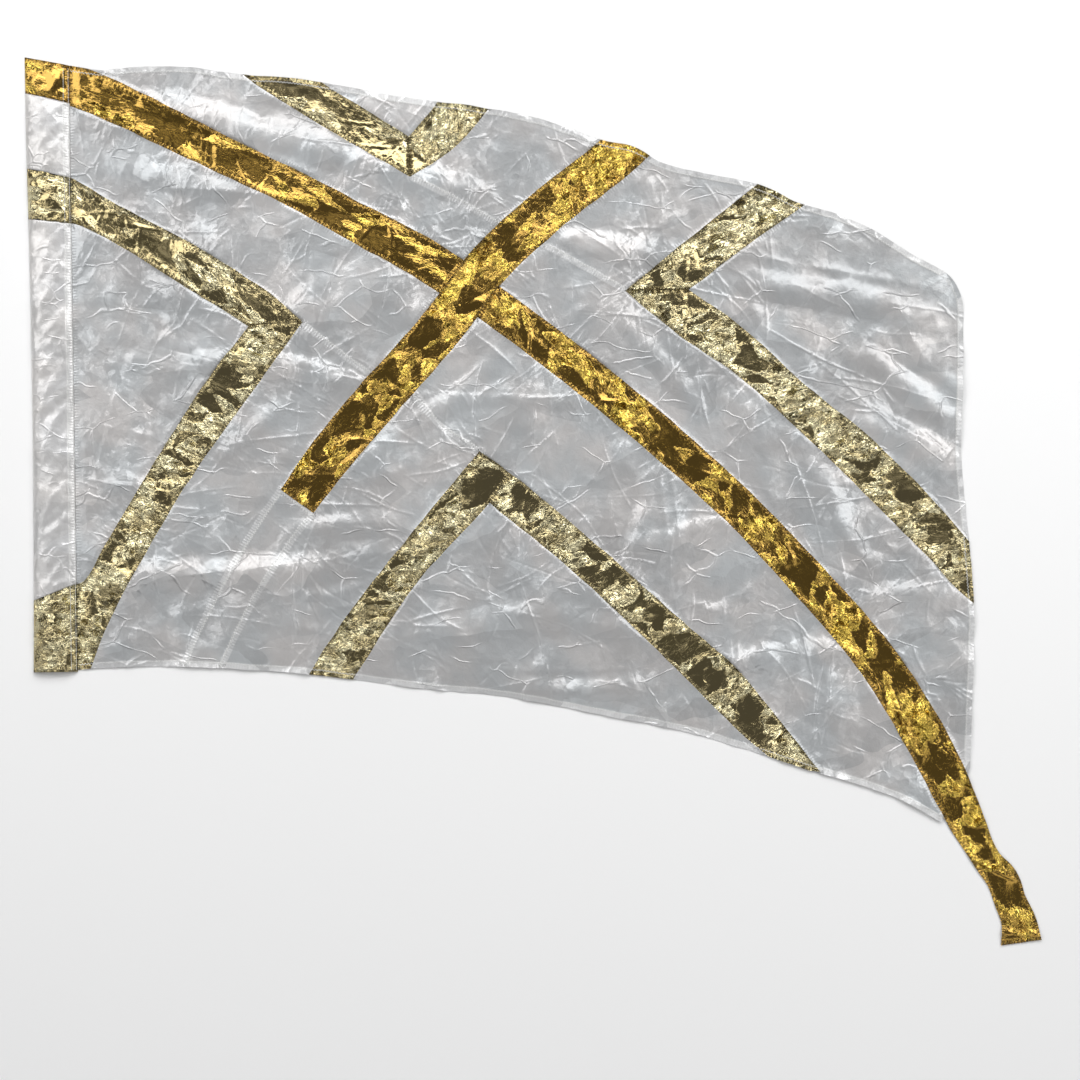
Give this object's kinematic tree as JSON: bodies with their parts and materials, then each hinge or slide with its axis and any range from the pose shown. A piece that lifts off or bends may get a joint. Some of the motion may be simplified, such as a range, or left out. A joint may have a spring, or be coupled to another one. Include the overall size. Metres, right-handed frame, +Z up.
{
  "type": "worship flag",
  "caption": "Pieced silk flag with metallic crossing strips and chevrons, a free strip tail and a pole sleeve down its hoist side, laid out flat with storage folds.",
  "frame": {"origin": "on the floor under the middle of the flag's box", "axes": "+X along the flag from the pole sleeve to the fly, +Y up the sleeve, +Z up from the floor"},
  "size_m": [1.4952, 1.3436, 0.0118],
  "materials": {
    "white_silk": "crinkled translucent lining silk",
    "dark_gold_lame": "crumpled metallic lame, mirror bright",
    "pale_gold_lame": "crumpled metallic lame, mirror bright"
  },
  "bodies": {
    "root": {"cross_strip": "dark_gold_lame", "long_strip_upper": "dark_gold_lame", "long_strip_lower": "dark_gold_lame", "chevron_bottom_left": "pale_gold_lame", "chevron_bottom_right": "pale_gold_lame", "chevron_top_long": "pale_gold_lame", "chevron_top_short": "pale_gold_lame", "chevron_left_upper": "pale_gold_lame", "chevron_left_lower": "pale_gold_lame", "chevron_right_upper": "pale_gold_lame", "chevron_right_lower": "pale_gold_lame", "panel_top_left": "white_silk", "panel_top_notch": "white_silk", "panel_top_middle": "white_silk", "panel_top_right": "white_silk", "panel_fly_corner": "white_silk", "panel_fly_long": "white_silk", "panel_hoist_upper": "white_silk", "panel_hoist_corner": "white_silk", "panel_hoist_lower": "white_silk", "panel_foot_strip": "white_silk", "panel_foot_middle": "white_silk", "panel_foot_notch": "white_silk", "panel_foot_long": "white_silk", "sleeve_foot": "pale_gold_lame", "sleeve_long": "white_silk", "sleeve_band": "pale_gold_lame", "sleeve_upper": "white_silk", "sleeve_corner": "dark_gold_lame"}
  },
  "joints": []
}
